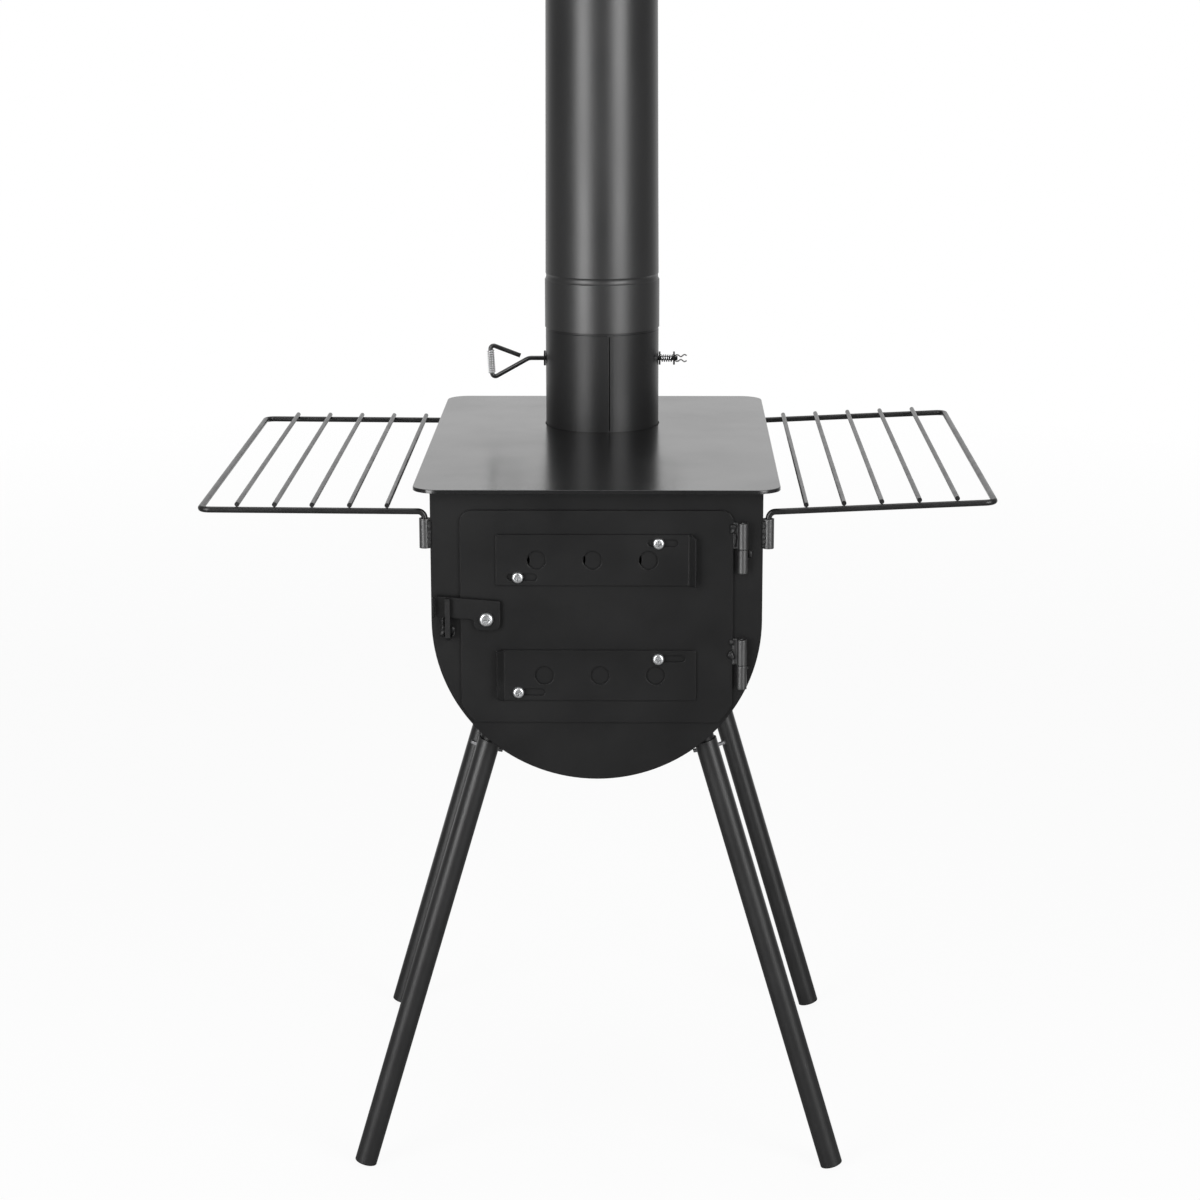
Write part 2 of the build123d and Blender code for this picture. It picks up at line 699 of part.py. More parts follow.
for name, (side, end) in corners.items():
    foot = Vector(side * leg_foot_x, end * leg_y, leg_foot_z)
    up = Vector(-side * sin(splay), 0, cos(splay))
    inward = Vector(-side * cos(splay), 0, -sin(splay))
    lengthwise = Vector(0, -end, 0)
    leg_plane = Plane(origin=foot, x_dir=inward, z_dir=up)
    bolt_plane = Plane(origin=foot + up * (leg_length - bolt_station), x_dir=inward, z_dir=lengthwise)

    with BuildPart() as leg_stub:
        with BuildSketch(leg_plane.offset(leg_length - stub_depth)):
            draw_ring(stub_radius, stub_radius - stub_wall)
        extrude(amount=stub_depth + axis_length - leg_length + leg_radius)
        with BuildSketch(face_plane):
            draw_d(0, straight_height)
        extrude(amount=-body_length, mode=Mode.SUBTRACT)
    leg_stub.part.label = f"{name}_leg_stub"
    export_step(leg_stub.part, f"parts/{name}_leg_stub.step")

    with BuildPart() as leg_tube:
        with BuildSketch(leg_plane):
            draw_ring(leg_radius, leg_radius - leg_wall)
        extrude(amount=leg_length)
        with BuildSketch(bolt_plane):
            Circle(bolt_radius + seat_gap)
        extrude(amount=leg_radius + cut_overrun, mode=Mode.SUBTRACT)
    leg_tube.part.label = f"{name}_leg"
    export_step(leg_tube.part, f"parts/{name}_leg.step")

    with BuildPart() as leg_nut:
        with BuildSketch(bolt_plane.offset(stub_radius)):
            RegularPolygon(leg_nut_corner_radius, 6)
            Circle(bolt_radius + thread_gap, mode=Mode.SUBTRACT)
        extrude(amount=leg_radius - stub_radius + leg_nut_height)
        with BuildSketch(leg_plane):
            Circle(leg_radius)
        extrude(amount=leg_length, mode=Mode.SUBTRACT)
    leg_nut.part.label = f"{name}_leg_nut"
    export_step(leg_nut.part, f"parts/{name}_leg_nut.step")

    # Wing bolt: it points along the stove towards its middle, its shank ends just clear of the
    # stub, and its wings stand across the leg
    hub_base = leg_radius + leg_nut_height + bolt_collar_gap
    with BuildPart() as wing_bolt:
        with BuildSketch(bolt_plane.offset(stub_radius + seat_gap)):
            Circle(bolt_radius)
        extrude(amount=hub_base - stub_radius - seat_gap)
        with BuildSketch(bolt_plane.offset(hub_base)):
            Circle(bolt_hub_radius)
        extrude(amount=bolt_hub_height, taper=bolt_hub_taper)
        wing_plane = Plane(origin=bolt_plane.origin, x_dir=inward, z_dir=up)
        hub_direction = wing_plane.y_dir.dot(lengthwise)
        wing_low = hub_direction * (hub_base + wing_root)
        wing_high = hub_direction * (hub_base + wing_root + wing_rise)
        wing_mid = (wing_low + wing_high) / 2
        with BuildSketch(wing_plane):
            for wing_side in (-1, 1):
                with BuildLine():
                    FilletPolyline(
                        (0, wing_low), (wing_side * wing_span, wing_mid),
                        (wing_side * wing_span, wing_high), (wing_side * bolt_hub_radius, wing_mid),
                        (0, wing_mid),
                        radius=[wing_corner_radius / 2, wing_corner_radius / 2, wing_corner_radius],
                    )
                    Line((0, wing_mid), (0, wing_low))
                make_face()
        extrude(amount=wing_thickness / 2, both=True)
    wing_bolt.part.label = f"{name}_wing_bolt"
    export_step(wing_bolt.part, f"parts/{name}_wing_bolt.step")

# Chimney: the damper pipe slips over the collar. Each pipe above it starts with a socket that
# slips over the pipe below, up to a bead pressed inwards.
flue_section = Plane(origin=(0, flue_y, 0), x_dir=(1, 0, 0), z_dir=(0, -1, 0))
flue_axis = Axis((0, flue_y, 0), (0, 0, 1))
rod_z = cooktop_height + damper_rod_height
rod_plane = Plane(origin=(0, flue_y, rod_z), x_dir=(0, 1, 0), z_dir=(1, 0, 0))

damper_pipe_top = cooktop_underside + damper_pipe_length
neck_radius = damper_pipe_radius - damper_pipe_neck
with BuildPart() as damper_pipe:
    with BuildSketch(flue_section):
        with BuildLine():
            neck_start = damper_pipe_top - neck_length
            outer_line = [
                (damper_pipe_radius, cooktop_underside),
                (damper_pipe_radius, neck_start - damper_pipe_neck),
                (neck_radius, neck_start),
                (neck_radius, damper_pipe_top),
            ]
            inner_line = [(r - pipe_wall, z) for r, z in reversed(outer_line)]
            Polyline(*outer_line, *inner_line, outer_line[0])
        make_face()
    revolve(axis=flue_axis)
    # Lock seam: a raised strip down the front, a little right of the middle
    with BuildSketch(Plane.XY.offset(cooktop_underside)):
        with Locations((0, flue_y)):
            Circle(damper_pipe_radius + seam_rise)
        with Locations((seam_x, flue_y - damper_pipe_radius)):
            Rectangle(seam_width, damper_pipe_radius, mode=Mode.INTERSECT)
        with Locations((0, flue_y)):
            Circle(damper_pipe_radius - pipe_wall / 2, mode=Mode.SUBTRACT)
    extrude(amount=damper_pipe_length - neck_length - socket_overlap_step)
    with BuildSketch(rod_plane):
        Circle(damper_rod_radius + running_gap)
    extrude(amount=damper_pipe_radius + cut_overrun, both=True, mode=Mode.SUBTRACT)
damper_pipe.part.label = "damper_pipe"
export_step(damper_pipe.part, "parts/damper_pipe.step")

pipe_bottom = damper_pipe_top + seat_gap - socket_depth
below_radius = neck_radius
pipe_names = ["lower_pipe", "middle_pipe", "upper_pipe", "top_pipe"]
for name in pipe_names[:pipe_count]:
    socket_bore = below_radius + seat_gap
    socket_outer = socket_bore + pipe_wall
    tube_outer = socket_bore + socket_overlap_step
    tube_top = tube_outer - pipe_taper
    bead_low = pipe_bottom + socket_depth
    bead_high = bead_low + bead_height
    bead_middle = (bead_low + bead_high) / 2
    bead_inner = tube_outer - bead_depth - pipe_wall
    pipe_top = pipe_bottom + pipe_length
    with BuildPart() as pipe:
        with BuildSketch(flue_section):
            with BuildLine():
                Line((socket_outer, pipe_bottom), (socket_outer, bead_low))
                ThreePointArc(
                    (socket_outer, bead_low), (tube_outer - bead_depth, bead_middle), (tube_outer, bead_high)
                )
                Polyline(
                    (tube_outer, bead_high), (tube_top, pipe_top - neck_length), (tube_top, pipe_top),
                    (tube_top - pipe_wall, pipe_top), (tube_top - pipe_wall, pipe_top - neck_length),
                    (tube_outer - pipe_wall, bead_high), (bead_inner, bead_middle),
                    (bead_inner, bead_low), (socket_bore, bead_low),
                    (socket_bore, pipe_bottom), (socket_outer, pipe_bottom),
                )
            make_face()
        revolve(axis=flue_axis)
    pipe.part.label = name
    export_step(pipe.part, f"parts/{name}.step")
    below_radius = tube_top
    pipe_bottom = pipe_top + seat_gap - socket_depth

# Chimney cap: a slotted band that slips over the top pipe, under a conical hat
cap_bore = below_radius + seat_gap
cap_outer = cap_bore + pipe_wall
cap_bottom = pipe_bottom + socket_depth - cap_collar_length
cap_top = cap_bottom + cap_collar_length + cap_band_height
with BuildPart() as cap_band:
    with BuildSketch(Plane.XY.offset(cap_bottom)):
        with Locations((0, flue_y)):
            draw_ring(cap_outer, cap_bore)
    extrude(amount=cap_collar_length + cap_band_height)
    # A narrow ledge that stops the band on the pipe's upper edge
    with BuildSketch(Plane.XY.offset(cap_bottom + cap_collar_length)):
        with Locations((0, flue_y)):
            draw_ring(cap_bore, below_radius - pipe_wall)
    extrude(amount=pipe_wall)
    slot_middle = cap_top - cap_band_height / 2
    for i in range(cap_slot_count // 2):
        turn = pi * i / (cap_slot_count // 2)
        with BuildSketch(
            Plane(origin=(0, flue_y, slot_middle), x_dir=(-sin(turn), cos(turn), 0),
                  z_dir=(cos(turn), sin(turn), 0))
        ):
            Rectangle(cap_slot_width, cap_slot_height)
        extrude(amount=cap_outer + cut_overrun, both=True, mode=Mode.SUBTRACT)
cap_band.part.label = "cap_band"
export_step(cap_band.part, "parts/cap_band.step")

with BuildPart() as cap_hat:
    with BuildSketch(flue_section):
        with BuildLine():
            hat_slope = cap_hat_height / cap_hat_radius
            hat_rim_z = cap_top - hat_slope * (cap_hat_radius - cap_outer)
            Polyline(
                (0, hat_rim_z + cap_hat_height), (cap_outer, cap_top), (cap_hat_radius, hat_rim_z),
                (cap_hat_radius, hat_rim_z + cap_hat_sheet),
                (0, hat_rim_z + cap_hat_height + cap_hat_sheet), (0, hat_rim_z + cap_hat_height),
            )
        make_face()
    revolve(axis=flue_axis)
cap_hat.part.label = "cap_hat"
export_step(cap_hat.part, "parts/cap_hat.step")

# Damper: a disc strapped to a wire rod that runs across the pipe and ends in a bent handle.
# The handle is drawn in the X-Z plane through the flue, seen from the front, open at rest.
handle_plane = Plane(origin=(0, flue_y, rod_z), x_dir=(1, 0, 0), z_dir=(0, -1, 0))
# Places along the rod: a washer outside the pipe on the handle's side, then at the other side a
# washer, the spring, a washer and the split pin
spring_length = spring_pitch * spring_turns + 2 * spring_wire_radius + 2 * spring_end_room
left_washer_x = -damper_pipe_radius - seat_gap - washer_thickness
inner_washer_x = damper_pipe_radius + seat_gap
spring_start_x = inner_washer_x + washer_thickness
outer_washer_x = spring_start_x + spring_length
split_pin_x = outer_washer_x + washer_thickness + split_pin_radius
handle_points = [
    (split_pin_x + rod_end_margin, 0),
    (-handle_bend_x, 0),
    (-handle_low_x, -handle_low_drop),
    (-handle_high_x, handle_high_rise),
    (-handle_end_x, handle_end_rise),
]

with BuildPart() as damper_rod:
    with BuildLine(handle_plane) as handle_path:
        FilletPolyline(*handle_points, radius=handle_bend_radii)
    with BuildSketch(Plane(origin=handle_path.line @ 0, z_dir=handle_path.line % 0)):
        Circle(damper_rod_radius)
    sweep()
    with BuildSketch(Plane.XY.offset(rod_z)):
        with Locations((split_pin_x, flue_y)):
            Circle(split_pin_radius + thread_gap)
    extrude(amount=damper_rod_radius + cut_overrun, both=True, mode=Mode.SUBTRACT)
damper_rod.part.label = "damper_rod"
export_step(damper_rod.part, "parts/damper_rod.step")

strap_outer = damper_rod_radius + damper_strap_wall
with BuildPart() as damper_disc:
    with BuildSketch(handle_plane.offset(damper_rod_radius)):
        Circle(damper_disc_radius)
    extrude(amount=damper_disc_thickness)
    for strap_side in (-1, 1):
        with BuildSketch(rod_plane.offset(strap_side * damper_strap_x - damper_strap_length / 2)):
            Circle(strap_outer)
            with Locations((-strap_outer / 2, 0)):
                Rectangle(strap_outer, 2 * strap_outer)
            Circle(damper_rod_radius, mode=Mode.SUBTRACT)
        extrude(amount=damper_strap_length)
        with BuildSketch(handle_plane.offset(damper_rod_radius + damper_disc_thickness)):
            with Locations((strap_side * damper_strap_x, 0)):
                Rectangle(2 * damper_strap_length, 4 * strap_outer)
        extrude(amount=strap_outer, mode=Mode.SUBTRACT)
damper_disc.part.label = "damper_disc"
export_step(damper_disc.part, "parts/damper_disc.step")

with BuildPart() as damper_washers:
    washers = [
        (left_washer_x, handle_washer_radius),
        (inner_washer_x, spring_washer_radius),
        (outer_washer_x, spring_washer_radius),
    ]
    for washer_x, washer_radius in washers:
        with BuildSketch(rod_plane.offset(washer_x)):
            draw_ring(washer_radius, damper_rod_radius + thread_gap)
        extrude(amount=washer_thickness)
damper_washers.part.label = "damper_washers"
export_step(damper_washers.part, "parts/damper_washers.step")

# Split pin: through the rod, each leg turned along the rod, in behind its end, and out again
pin_plane = Plane(origin=(split_pin_x, flue_y, rod_z), x_dir=(1, 0, 0), z_dir=(0, -1, 0))
split_pin_half_height = damper_rod_radius + split_pin_gap + split_pin_radius
upper_leg = [
    (split_pin_tip_x, split_pin_tip_half),
    (split_pin_crest_x, split_pin_crest_half),
    (split_pin_waist_x, split_pin_waist_half),
    (split_pin_shoulder, split_pin_half_height),
    (0, split_pin_half_height),
]
lower_leg = [(x, -height) for x, height in reversed(upper_leg)]
leg_radii = [split_pin_wave_radius] * (len(upper_leg) - 2) + [split_pin_bend_radius]
with BuildPart() as split_pin:
    with BuildLine(pin_plane) as pin_path:
        FilletPolyline(*upper_leg, *lower_leg, radius=leg_radii + leg_radii[::-1])
    with BuildSketch(Plane(origin=pin_path.line @ 0, z_dir=pin_path.line % 0)):
        Circle(split_pin_radius)
    sweep()
split_pin.part.label = "split_pin"
export_step(split_pin.part, "parts/split_pin.step")


# Springs: each is one wire on a helix about its plane's z axis
def helix_point(plane, mean_radius, pitch, turn):
    """Point of the helix after this many turns."""
    angle = 2 * pi * turn
    return plane.from_local_coords(
        Vector(mean_radius * cos(angle), mean_radius * sin(angle), pitch * turn)
    )


def helix_tangent(plane, mean_radius, pitch, turn):
    """Direction of the helix after this many turns."""
    angle = 2 * pi * turn
    around = 2 * pi * mean_radius
    direction = Vector(-around * sin(angle), around * cos(angle), pitch).normalized()
    return plane.from_local_coords(direction) - plane.origin


def draw_helix(plane, mean_radius, pitch, turns, wire_radius):
    """Draw the helix as pairs of tangent arcs, a quarter turn a pair, with straight ends."""
    start = helix_point(plane, mean_radius, pitch, 0)
    lead = helix_tangent(plane, mean_radius, pitch, 0) * (2 * wire_radius)
    Line(start - lead, start)
    for quarter in range(4 * turns):
        p = helix_point(plane, mean_radius, pitch, quarter / 4)
        q = helix_point(plane, mean_radius, pitch, (quarter + 1) / 4)
        t = helix_tangent(plane, mean_radius, pitch, quarter / 4)
        u = helix_tangent(plane, mean_radius, pitch, (quarter + 1) / 4)
        chord = q - p
        along = chord.dot(t + u)
        spread = 1 - t.dot(u)
        reach = (-along + sqrt(along**2 + 2 * spread * chord.dot(chord))) / (2 * spread)
        joint = (p + q + (t - u) * reach) * 0.5
        joint_direction = (q - u * reach) - (p + t * reach)
        TangentArc(p, joint, tangent=t)
        TangentArc(joint, q, tangent=joint_direction)
    finish = helix_point(plane, mean_radius, pitch, turns)
    tail = helix_tangent(plane, mean_radius, pitch, turns) * (2 * wire_radius)
    Line(finish, finish + tail)


def print_coil_gap(label, mean_radius, pitch, turns, wire_radius):
    """Print the least gap of a coil to itself, measured on points half a turn or more apart."""
    points = [
        helix_point(Plane.XY, mean_radius, pitch, i / gap_samples)
        for i in range(turns * gap_samples + 1)
    ]
    least = min(
        (a - b).length
        for i, a in enumerate(points)
        for b in points[i + gap_samples // 2:]
    )
    print(f"{label}: least gap to itself {least - 2 * wire_radius:.2f} mm")


spring_plane = Plane(
    origin=(spring_start_x + spring_wire_radius + spring_end_room, flue_y, rod_z),
    x_dir=(0, 0, 1),
    z_dir=(1, 0, 0),
)
with BuildPart() as damper_spring:
    with BuildLine() as spring_path:
        draw_helix(spring_plane, spring_mean_radius, spring_pitch, spring_turns, spring_wire_radius)
    with BuildSketch(Plane(origin=spring_path.line @ 0, z_dir=spring_path.line % 0)):
        Circle(spring_wire_radius)
    sweep()
damper_spring.part.label = "damper_spring"
export_step(damper_spring.part, "parts/damper_spring.step")
print_coil_gap(
    "damper spring", spring_mean_radius, spring_pitch, spring_turns, spring_wire_radius
)

# The grip spring is wound round the upright stretch of the handle, centred between its bends
grip_low = handle_plane.from_local_coords((-handle_low_x, -handle_low_drop))
grip_high = handle_plane.from_local_coords((-handle_high_x, handle_high_rise))
grip_direction = (grip_high - grip_low).normalized()
grip_start = (grip_low + grip_high) * 0.5 - grip_direction * (grip_pitch * grip_turns / 2)
grip_plane = Plane(origin=grip_start, x_dir=(0, 1, 0), z_dir=grip_direction)
with BuildPart() as grip_spring:
    with BuildLine() as grip_path:
        draw_helix(grip_plane, grip_mean_radius, grip_pitch, grip_turns, grip_wire_radius)
    with BuildSketch(Plane(origin=grip_path.line @ 0, z_dir=grip_path.line % 0)):
        Circle(grip_wire_radius)
    sweep()
grip_spring.part.label = "grip_spring"
export_step(grip_spring.part, "parts/grip_spring.step")
print_coil_gap("grip spring", grip_mean_radius, grip_pitch, grip_turns, grip_wire_radius)
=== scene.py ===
# Looks of the tent wood stove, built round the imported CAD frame. Lengths are metres:
# X right, Y back, Z up, origin on the floor under the middle of the cooktop.
import math

import bpy
import numpy as np
from mathutils import Matrix, Vector


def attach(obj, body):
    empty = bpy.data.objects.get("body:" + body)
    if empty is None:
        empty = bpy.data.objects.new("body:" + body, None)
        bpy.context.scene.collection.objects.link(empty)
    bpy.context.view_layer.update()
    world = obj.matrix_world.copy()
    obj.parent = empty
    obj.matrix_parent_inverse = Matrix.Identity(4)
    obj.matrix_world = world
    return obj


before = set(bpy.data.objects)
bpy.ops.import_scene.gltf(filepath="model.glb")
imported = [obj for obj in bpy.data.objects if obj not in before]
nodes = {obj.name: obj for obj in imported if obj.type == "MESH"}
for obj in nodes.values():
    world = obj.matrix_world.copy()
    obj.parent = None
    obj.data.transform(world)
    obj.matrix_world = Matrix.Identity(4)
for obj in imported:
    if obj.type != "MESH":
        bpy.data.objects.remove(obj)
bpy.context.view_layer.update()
print("stage: frame loaded,", len(nodes), "nodes")


# Shading helpers. Every texture uses Object coordinates, so a pattern keeps its real size.
def newMaterial(name):
    material = bpy.data.materials.new(name)
    material.use_nodes = True
    tree = material.node_tree
    tree.nodes.clear()
    output = tree.nodes.new("ShaderNodeOutputMaterial")
    return material, tree, output


def objectNoise(tree, size, detail, stretch=(1, 1, 1)):
    # Noise whose blobs are about size metres across, drawn out along an axis by its stretch.
    coordinates = tree.nodes.new("ShaderNodeTexCoord")
    mapping = tree.nodes.new("ShaderNodeMapping")
    mapping.inputs["Scale"].default_value = [1 / (size * s) for s in stretch]
    noise = tree.nodes.new("ShaderNodeTexNoise")
    noise.inputs["Scale"].default_value = 1
    noise.inputs["Detail"].default_value = detail
    tree.links.new(coordinates.outputs["Object"], mapping.inputs["Vector"])
    tree.links.new(mapping.outputs["Vector"], noise.inputs["Vector"])
    return noise.outputs["Fac"]


def rangeOf(tree, value, low, high, fromLow=0.3, fromHigh=0.7):
    # Straight line from (fromLow, low) to (fromHigh, high), held at both ends. The ends that it
    # starts with hold most of a noise's values.
    node = tree.nodes.new("ShaderNodeMapRange")
    node.inputs["From Min"].default_value = fromLow
    node.inputs["From Max"].default_value = fromHigh
    node.inputs["To Min"].default_value = low
    node.inputs["To Max"].default_value = high
    tree.links.new(value, node.inputs["Value"])
    return node.outputs["Result"]


def mixColours(tree, value, first, second):
    node = tree.nodes.new("ShaderNodeMix")
    node.data_type = "RGBA"
    node.inputs["A"].default_value = (*first, 1)
    node.inputs["B"].default_value = (*second, 1)
    tree.links.new(value, node.inputs["Factor"])
    return node.outputs["Result"]


shading = {"patchDetail": 3, "grainDetail": 2, "bevelSamples": 4, "plainIor": 1.5}


def surfaceMaterial(name, look):
    # One coating or metal: colour and roughness drift between two values over patches, and a
    # fine grain tilts the surface by a bump of grainDepth. Edges shade as if rounded to
    # edgeRadius, so they catch the light.
    material, tree, output = newMaterial(name)
    shader = tree.nodes.new("ShaderNodeBsdfPrincipled")
    stretch = look.get("stretch", (1, 1, 1))
    patches = objectNoise(tree, look["patchSize"], shading["patchDetail"], stretch)
    grain = objectNoise(tree, look["grainSize"], shading["grainDetail"])
    colour = mixColours(tree, rangeOf(tree, patches, 0, 1), look["colour"], look["otherColour"])
    tree.links.new(colour, shader.inputs["Base Color"])
    roughness = rangeOf(tree, patches, look["roughness"][0], look["roughness"][1])
    tree.links.new(roughness, shader.inputs["Roughness"])
    shader.inputs["Metallic"].default_value = look["metallic"]
    shader.inputs["IOR"].default_value = look.get("ior", shading["plainIor"])
    rounded = tree.nodes.new("ShaderNodeBevel")
    rounded.samples = shading["bevelSamples"]
    rounded.inputs["Radius"].default_value = look["edgeRadius"]
    bump = tree.nodes.new("ShaderNodeBump")
    tree.links.new(rounded.outputs["Normal"], bump.inputs["Normal"])
    bump.inputs["Distance"].default_value = look["grainDepth"]
    bump.inputs["Strength"].default_value = look["grainStrength"]
    tree.links.new(grain, bump.inputs["Height"])
    tree.links.new(bump.outputs["Normal"], shader.inputs["Normal"])
    tree.links.new(shader.outputs["BSDF"], output.inputs["Surface"])
    return material


stovePaint = {
    "colour": (0.0040, 0.0040, 0.0042),
    "otherColour": (0.0056, 0.0056, 0.0058),
    "roughness": (0.40, 0.47),
    "metallic": 0.0,
    "ior": 1.42,
    "patchSize": 0.045,
    "grainSize": 0.0007,
    "grainDepth": 0.00004,
    "grainStrength": 0.35,
    "edgeRadius": 0.0010,
}
brightMetal = {
    "metallic": 1.0,
    "patchSize": 0.004,
    "grainSize": 0.0005,
    "grainDepth": 0.00001,
    "grainStrength": 0.2,
    "edgeRadius": 0.0002,
}
looks = {
    "stovePaint": stovePaint,
    "tabPaint": {**stovePaint, "edgeRadius": 0.0016},
    "fittingPaint": {
        "colour": (0.0080, 0.0080, 0.0083),
        "otherColour": (0.0100, 0.0100, 0.0103),
        "roughness": (0.40, 0.46),
        "metallic": 0.0,
        "ior": 2.00,
        "patchSize": 0.010,
        "grainSize": 0.0008,
        "grainDepth": 0.00001,
        "grainStrength": 0.30,
        "edgeRadius": 0.0013,
    },
    "cooktopPaint": {
        "colour": (0.0080, 0.0080, 0.0083),
        "otherColour": (0.0100, 0.0100, 0.0103),
        "roughness": (0.19, 0.24),
        "metallic": 0.0,
        "ior": 1.74,
        "patchSize": 0.08,
        "grainSize": 0.0008,
        "grainDepth": 0.00004,
        "grainStrength": 0.25,
        "edgeRadius": 0.0005,
    },
    "weldPaint": {
        "colour": (0.0080, 0.0080, 0.0083),
        "otherColour": (0.0120, 0.0120, 0.0123),
        "roughness": (0.42, 0.52),
        "metallic": 0.0,
        "ior": 1.45,
        "patchSize": 0.003,
        "grainSize": 0.0006,
        "grainDepth": 0.00003,
        "grainStrength": 0.30,
        "edgeRadius": 0.0002,
    },
    "pipePaint": {
        "colour": (0.0130, 0.0130, 0.0134),
        "otherColour": (0.0160, 0.0160, 0.0164),
        "roughness": (0.36, 0.41),
        "metallic": 0.0,
        "ior": 1.70,
        "patchSize": 0.05,
        "grainSize": 0.0006,
        "grainDepth": 0.00003,
        "grainStrength": 0.30,
        "edgeRadius": 0.0002,
        "stretch": (1, 1, 3),
    },
    "damperPipePaint": {
        "colour": (0.0100, 0.0100, 0.0104),
        "otherColour": (0.0125, 0.0125, 0.0129),
        "roughness": (0.37, 0.42),
        "metallic": 0.0,
        "patchSize": 0.04,
        "grainSize": 0.0006,
        "grainDepth": 0.00003,
        "grainStrength": 0.30,
        "edgeRadius": 0.0002,
        "stretch": (1, 1, 3),
    },
    "rodPaint": {
        "colour": (0.0090, 0.0090, 0.0093),
        "otherColour": (0.0120, 0.0120, 0.0123),
        "roughness": (0.28, 0.36),
        "metallic": 0.0,
        "patchSize": 0.02,
        "grainSize": 0.0006,
        "grainDepth": 0.00002,
        "grainStrength": 0.2,
        "edgeRadius": 0.0002,
    },
    "legPaint": {
        "colour": (0.0080, 0.0080, 0.0083),
        "otherColour": (0.0100, 0.0100, 0.0103),
        "roughness": (0.36, 0.42),
        "metallic": 0.0,
        "ior": 1.65,
        "patchSize": 0.03,
        "grainSize": 0.0007,
        "grainDepth": 0.00003,
        "grainStrength": 0.25,
        "edgeRadius": 0.0013,
    },
    "zinc": {
        **brightMetal,
        "colour": (0.74, 0.75, 0.76),
        "otherColour": (0.86, 0.87, 0.88),
        "roughness": (0.28, 0.40),
    },
    "castZinc": {
        **brightMetal,
        "colour": (0.15, 0.15, 0.155),
        "otherColour": (0.22, 0.22, 0.225),
        "roughness": (0.45, 0.55),
    },
    "springWire": {
        **brightMetal,
        "colour": (0.78, 0.78, 0.79),
        "otherColour": (0.88, 0.88, 0.89),
        "roughness": (0.16, 0.24),
    },
    "darkWasher": {
        "colour": (0.006, 0.006, 0.006),
        "otherColour": (0.010, 0.010, 0.010),
        "roughness": (0.35, 0.45),
        "metallic": 0.0,
        "ior": 1.35,
        "patchSize": 0.004,
        "grainSize": 0.0005,
        "grainDepth": 0.00001,
        "grainStrength": 0.2,
        "edgeRadius": 0.0002,
    },
    "handleRod": {
        "colour": (0.008, 0.008, 0.008),
        "otherColour": (0.014, 0.014, 0.014),
        "roughness": (0.18, 0.26),
        "metallic": 0.0,
        "ior": 1.70,
        "patchSize": 0.01,
        "grainSize": 0.0005,
        "grainDepth": 0.00001,
        "grainStrength": 0.2,
        "edgeRadius": 0.0002,
    },
    # Painted shade: near-black and barely reflecting, it stands for the shadow inside the damper
    # pipe's lock-seam fold
    "paintedSeamShade": {
        "colour": (0.0015, 0.0015, 0.0015),
        "otherColour": (0.0025, 0.0025, 0.0025),
        "roughness": (0.70, 0.80),
        "metallic": 0.0,
        "ior": 1.08,
        "patchSize": 0.01,
        "grainSize": 0.0005,
        "grainDepth": 0.00001,
        "grainStrength": 0.2,
        "edgeRadius": 0.0001,
    },
    "bareSteel": {
        "colour": (0.22, 0.215, 0.21),
        "otherColour": (0.30, 0.295, 0.29),
        "roughness": (0.35, 0.50),
        "metallic": 1.0,
        "patchSize": 0.02,
        "grainSize": 0.0004,
        "grainDepth": 0.00001,
        "grainStrength": 0.3,
        "edgeRadius": 0.0002,
        "stretch": (4, 1, 1),
    },
    "grateIron": {
        "colour": (0.020, 0.019, 0.018),
        "otherColour": (0.035, 0.033, 0.031),
        "roughness": (0.60, 0.75),
        "metallic": 0.2,
        "patchSize": 0.02,
        "grainSize": 0.0015,
        "grainDepth": 0.0001,
        "grainStrength": 0.5,
        "edgeRadius": 0.0004,
    },
}
materials = {name: surfaceMaterial(name, look) for name, look in looks.items()}

# Which look each CAD node wears. Nodes that aren't named here wear the stove's paint.
nodeLooks = {
    "cooktopPaint": ["cooktop_plate"],
    "pipePaint": ["lower_pipe", "middle_pipe", "upper_pipe", "top_pipe", "cap_band", "cap_hat"],
    "damperPipePaint": ["damper_pipe", "flue_collar"],
    "rodPaint": ["left_rack_frame", "left_rack_bars", "right_rack_frame", "right_rack_bars"],
    "legPaint": ["front_left_leg", "front_right_leg", "back_left_leg", "back_right_leg"],
    "fittingPaint": [
        "frame_hinge_knuckles", "door_hinge_knuckles", "hinge_pins",
        "left_rack_sockets", "right_rack_sockets",
    ],
    "tabPaint": ["upper_vent_slider", "lower_vent_slider", "latch_lever"],
    "weldPaint": ["latch_keeper"],
    "zinc": [
        "upper_vent_screws", "lower_vent_screws", "latch_screw", "door_nuts", "latch_spacer",
    ],
    "castZinc": [
        "front_left_wing_bolt", "front_right_wing_bolt", "back_left_wing_bolt",
        "back_right_wing_bolt", "front_left_leg_nut", "front_right_leg_nut",
        "back_left_leg_nut", "back_right_leg_nut",
    ],
    "springWire": ["grip_spring", "damper_spring"],
    "darkWasher": ["damper_washers"],
    "handleRod": ["damper_rod"],
    "bareSteel": ["damper_disc", "split_pin"],
    "grateIron": ["fire_grate", "grate_rests"],
}
lookOfNode = {node: look for look, names in nodeLooks.items() for node in names}
for name, node in nodes.items():
    node.data.materials.clear()
    node.data.materials.append(materials[lookOfNode.get(name, "stovePaint")])
print("stage: materials on", len(nodes), "nodes")


